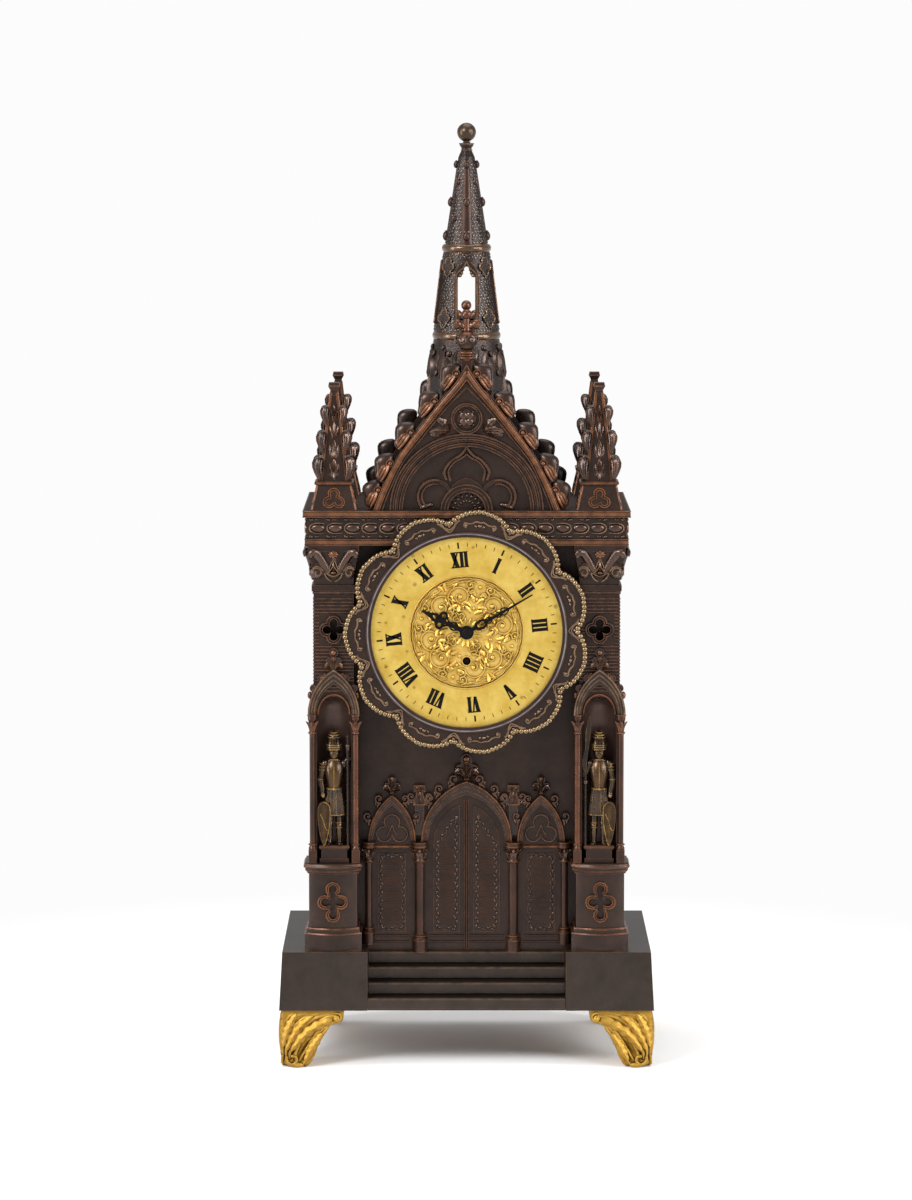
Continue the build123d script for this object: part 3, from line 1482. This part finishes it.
# Click that stops the ratchet, on a stud of the front plate
click_bore = 1.2 + running
nose_angle = radians(150)
nose = (
    barrel_at[0] + (ratchet_radius + 0.15) * cos(nose_angle) - click_at[0],
    barrel_at[1] + (ratchet_radius + 0.15) * sin(nose_angle) - click_at[1],
)
with BuildPart() as click:
    with BuildSketch(dial_plane(ratchet_y + 1.4, x=click_at[0], z=click_at[1])):
        Circle(2.4)
        with BuildLine():
            Polyline((-0.6, 2.3), (nose[0] + 0.3, nose[1] + 1.5), nose, (-0.8, -2.2), close=True)
        make_face()
        Circle(click_bore, mode=Mode.SUBTRACT)
    extrude(amount=1.4)
save(click, "click")

# Intermediate, centre, third and escape arbors, each a pinion and a wheel
phase_intermediate_pinion = meshed(
    great_teeth, 0, intermediate_pinion_teeth, heading(barrel_at, intermediate_at)
)
phase_centre_pinion = meshed(
    intermediate_teeth, 0, centre_pinion_teeth, heading(intermediate_at, centre_at)
)
phase_third_pinion = meshed(centre_teeth, 0, third_pinion_teeth, heading(centre_at, third_at))
phase_escape_pinion = meshed(third_teeth, 0, escape_pinion_teeth, heading(third_at, escape_at))
intermediate_y = front_plate_y + 24.0
centre_y = front_plate_y + 27.6
third_y = front_plate_y + 10.0
escape_y = front_plate_y + 18.0
with BuildPart() as intermediate_wheel:
    turned(intermediate_at, front_face_y, back_face_y, pivot)
    turned(intermediate_at, train_front, train_back, 1.0)
    gear(
        intermediate_at,
        great_y - 0.5,
        great_y + 2.5,
        intermediate_pinion_teeth,
        great_module,
        phase_intermediate_pinion,
    )
    gear(
        intermediate_at,
        intermediate_y,
        intermediate_y + 1.4,
        intermediate_teeth,
        intermediate_module,
        0,
        3.6,
    )
save(intermediate_wheel, "intermediate_wheel")

arbor_front_y = minute_hand_y + 1.2
with BuildPart() as centre_wheel:
    turned(centre_at, arbor_front_y, train_back, 1.2)
    turned(centre_at, train_back, back_face_y, 0.8)
    gear(
        centre_at,
        intermediate_y - 0.6,
        intermediate_y + 2.0,
        centre_pinion_teeth,
        intermediate_module,
        phase_centre_pinion,
    )
    gear(centre_at, centre_y, centre_y + 1.2, centre_teeth, centre_module, 0, 3.4)
save(centre_wheel, "centre_wheel")

with BuildPart() as third_wheel:
    turned(third_at, front_face_y, back_face_y, pivot)
    turned(third_at, train_front, train_back, 0.8)
    gear(third_at, centre_y - 0.6, centre_y + 1.8, third_pinion_teeth, centre_module, phase_third_pinion)
    gear(third_at, third_y, third_y + 1.2, third_teeth, third_module, 0, 3.2)
save(third_wheel, "third_wheel")

with BuildPart() as escape_wheel:
    turned(escape_at, front_face_y, back_face_y, pivot)
    turned(escape_at, train_front, train_back, 0.75)
    gear(escape_at, third_y - 0.6, third_y + 1.8, escape_pinion_teeth, third_module, phase_escape_pinion)
    wheel(escape_at, escape_y, escape_y + 1.0, saw_outline(escape_teeth, escape_radius, 6.8, 0.30), 1.8)
save(escape_wheel, "escape_wheel")

# Anchor with its arbor, two pallets that clear the wheel, and the crutch behind the back plate
pallet_lift = 0.62
crutch_length = 24.0
with BuildPart() as anchor:
    turned(anchor_at, front_face_y, cock_y + 2.0, pivot)
    turned(anchor_at, train_front, cock_y - shoulder, 1.0)
    turned(anchor_at, escape_y - 0.3, escape_y + 1.3, 2.4)
    with BuildSketch(dial_plane(escape_y + 1.3, x=escape_at[0], z=escape_at[1])):
        rise = anchor_at[1] - escape_at[1]
        inner = escape_radius + pallet_lift
        for side in (-1, 1):
            spot = radians(90 - side * pallet_angle)
            pallet = (inner * cos(spot), inner * sin(spot))
            outer = ((inner + 1.6) * cos(spot), (inner + 1.6) * sin(spot))
            with BuildLine():
                Polyline(
                    (0, rise + 2.0),
                    (outer[0] + side * 1.2, outer[1] + 1.0),
                    (pallet[0] + side * 0.9, pallet[1] - 0.25),
                    pallet,
                    (pallet[0] - side * 0.6, pallet[1] + 1.6),
                    (0, rise - 1.2),
                    close=True,
                )
            make_face()
        Circle(inner, mode=Mode.SUBTRACT)
    extrude(amount=1.6)
    with BuildSketch(dial_plane(back_face_y + 4.0, x=anchor_at[0], z=anchor_at[1])):
        Circle(2.2)
        with Locations((0, -crutch_length / 2)):
            Rectangle(2.0, crutch_length)
        with Locations((0, -crutch_length)):
            Rectangle(5.6, 2.4)
    extrude(amount=1.0)
    for side in (-1, 1):
        turned(
            (anchor_at[0] + side * 2.0, anchor_at[1] - crutch_length), back_face_y + 3.5, rod_y + 2.0, 0.6
        )
save(anchor, "anchor")

# Plates and pillars
with BuildPart() as front_plate:
    turned(centre_at, front_face_y, front_plate_y, drum_outer_radius - drum_wall - slip)
    for at, radius in (
        (centre_at, 1.2),
        (barrel_at, arbor_radius),
        (intermediate_at, pivot),
        (third_at, pivot),
        (escape_at, pivot),
        (anchor_at, pivot),
    ):
        turned(at, front_face_y - 1, front_plate_y + 1, radius + running, Mode.SUBTRACT)
    turned(click_at, ratchet_y - 0.8, front_face_y, 1.2)
    turned(minute_wheel_at, front_face_y - 5.4, front_face_y, 1.0)
save(front_plate, "front_plate")

with BuildPart() as back_plate:
    turned(centre_at, back_plate_y, back_face_y, back_plate_radius)
    for at, radius in (
        (centre_at, 0.8),
        (barrel_at, 1.2),
        (intermediate_at, pivot),
        (third_at, pivot),
        (escape_at, pivot),
        (anchor_at, 1.4),
    ):
        turned(at, back_plate_y - 1, back_face_y + 1, radius + running, Mode.SUBTRACT)
save(back_plate, "back_plate")

with BuildPart() as plate_pillars:
    for quarter in range(4):
        angle = radians(45 + 90 * quarter)
        at = (pillar_circle * cos(angle), pillar_circle * sin(angle))
        turned(at, front_plate_y, back_plate_y, 2.4)
        turned(at, front_plate_y, front_plate_y + 3.0, 3.6)
        turned(at, back_plate_y - 3.0, back_plate_y, 3.6)
save(plate_pillars, "plate_pillars")

# Pendulum cock: a bridge on the back plate with the suspension pin
pin_radius = 1.0
with BuildPart() as pendulum_cock:
    for side in (-1, 1):
        with BuildSketch(dial_plane(cock_y, x=side * 9.0, z=anchor_at[1])):
            Rectangle(4.0, 8.0)
        extrude(amount=cock_y - back_face_y)
    with BuildSketch(dial_plane(cock_y + 2.0, x=anchor_at[0], z=anchor_at[1])):
        RectangleRounded(22.0, 8.0, 1.5)
    extrude(amount=2.0)
    turned(anchor_at, cock_y - 1, cock_y + 2.0, pivot + running, Mode.SUBTRACT)
    turned(anchor_at, cock_y + 2.0, rod_y + 2.0, pin_radius)
    turned(anchor_at, rod_y + 2.0, rod_y + 3.0, 2.0)
save(pendulum_cock, "pendulum_cock")

# Pendulum: eye on the pin, rod, lens-shaped bob and rating nut
eye_z = dial_z + anchor_at[1]
bob_z = eye_z - pendulum_length
with BuildPart() as pendulum_rod:
    turned(anchor_at, rod_y - 1.2, rod_y + 1.2, 3.0)
    with Locations((anchor_at[0], rod_y, eye_z - 2.0)):
        Cylinder(
            1.0,
            pendulum_length + bob_radius + 8.0,
            align=(Align.CENTER, Align.CENTER, Align.MAX),
        )
    turned(anchor_at, rod_y - 3, rod_y + 3, pin_radius + running, Mode.SUBTRACT)
    with Locations((anchor_at[0], rod_y, bob_z - bob_radius - 1.0)):
        Cylinder(3.0, 4.0, align=(Align.CENTER, Align.CENTER, Align.MAX))
save(pendulum_rod, "pendulum_rod")

with BuildPart() as pendulum_bob:
    with BuildSketch(Plane(origin=(0, rod_y, bob_z), x_dir=(1, 0, 0), z_dir=(0, 0, 1))):
        with BuildLine():
            Line((0, -4.4), (0, 4.4))
            ThreePointArc((0, 4.4), (0.62 * bob_radius, 3.2), (bob_radius, 1.0))
            Line((bob_radius, 1.0), (bob_radius, -1.0))
            ThreePointArc((bob_radius, -1.0), (0.62 * bob_radius, -3.2), (0, -4.4))
        make_face()
    revolve(axis=Axis((0, rod_y, bob_z), (0, 1, 0)))
    with Locations((0, rod_y, bob_z)):
        Cylinder(1.0 + fit, 3 * bob_radius, mode=Mode.SUBTRACT)
save(pendulum_bob, "pendulum_bob")

# Motion work in front of the front plate
cannon_y = front_face_y - 2.6
hour_wheel_y = front_face_y - 4.6
phase_minute_wheel = meshed(cannon_teeth, 0, minute_wheel_teeth, heading(centre_at, minute_wheel_at))
phase_hour_wheel = meshed(minute_pinion_teeth, 0, hour_teeth, heading(minute_wheel_at, centre_at))
with BuildPart() as cannon_pinion:
    gear(centre_at, cannon_y, cannon_y + 2.2, cannon_teeth, cannon_module, 0)
    turned(centre_at, collet_y, cannon_y, cannon_radius)
    turned(centre_at, arbor_front_y - 0.6, front_plate_y, 1.2 + running, Mode.SUBTRACT)
save(cannon_pinion, "cannon_pinion")

with BuildPart() as minute_wheel:
    gear(
        minute_wheel_at,
        cannon_y + 0.5,
        cannon_y + 1.7,
        minute_wheel_teeth,
        cannon_module,
        phase_minute_wheel,
    )
    gear(minute_wheel_at, hour_wheel_y - 0.6, cannon_y + 0.5, minute_pinion_teeth, minute_module, 0)
    turned(minute_wheel_at, front_face_y - 9, front_face_y + 1, 1.0 + running, Mode.SUBTRACT)
save(minute_wheel, "minute_wheel")

with BuildPart() as hour_wheel:
    gear(centre_at, hour_wheel_y, hour_wheel_y + 1.0, hour_teeth, minute_module, phase_hour_wheel)
    turned(centre_at, hour_hand_y - hand_thickness - 0.1, hour_wheel_y, pipe_radius)
    turned(centre_at, hour_hand_y - 5, hour_wheel_y + 2, cannon_radius + running, Mode.SUBTRACT)
save(hour_wheel, "hour_wheel")

# Rear bezel on the back wall, hinged round door and its pin
rear_ring_outer = rear_opening + 7.0
rear_ring_y = case_back_y + 3.0
door_radius = rear_opening + 3.0
door_y = rear_ring_y + 0.2
hinge_x = rear_ring_outer + 2.4
hinge_y = rear_ring_y + 1.0
knuckle_radius = 2.2
hinge_pin_radius = 1.0
with BuildPart() as rear_bezel:
    turned(centre_at, case_back_y, rear_ring_y, rear_ring_outer)
    turned(centre_at, case_back_y - 1, rear_ring_y + 1, rear_opening - 3.0, Mode.SUBTRACT)
    for side in (-1, 1):
        with Locations((hinge_x - 3.0, (case_back_y + rear_ring_y) / 2, dial_z + side * 6.6)):
            Box(6.0, rear_ring_y - case_back_y, 4.8)
        with Locations((hinge_x, hinge_y, dial_z + side * 6.6)):
            Cylinder(knuckle_radius, 4.8)
            Cylinder(hinge_pin_radius + running, 6.0, mode=Mode.SUBTRACT)
save(rear_bezel, "rear_bezel")

with BuildPart() as back_door:
    turned(centre_at, door_y, door_y + 1.4, door_radius)
    turned(centre_at, door_y + 1.4, door_y + 2.2, door_radius - 6.0)
    with Locations((hinge_x - 4.0, door_y + 0.7, dial_z)):
        Box(8.0, 1.4, 8.0)
    with Locations((hinge_x, hinge_y, dial_z)):
        Cylinder(knuckle_radius, 8.0)
        Cylinder(hinge_pin_radius + running, 10.0, mode=Mode.SUBTRACT)
    turned((6.0 - door_radius, 0), door_y + 1.4, door_y + 4.4, 1.4)
    turned((6.0 - door_radius, 0), door_y + 3.6, door_y + 6.2, 2.6)
save(back_door, "back_door")

with BuildPart() as hinge_pin:
    with Locations((hinge_x, hinge_y, dial_z - 9.2)):
        Cylinder(hinge_pin_radius, 18.4, align=(Align.CENTER, Align.CENTER, Align.MIN))
    with Locations((hinge_x, hinge_y, dial_z + 9.0)):
        Cylinder(1.9, 0.9, align=(Align.CENTER, Align.CENTER, Align.MIN))
save(hinge_pin, "hinge_pin")
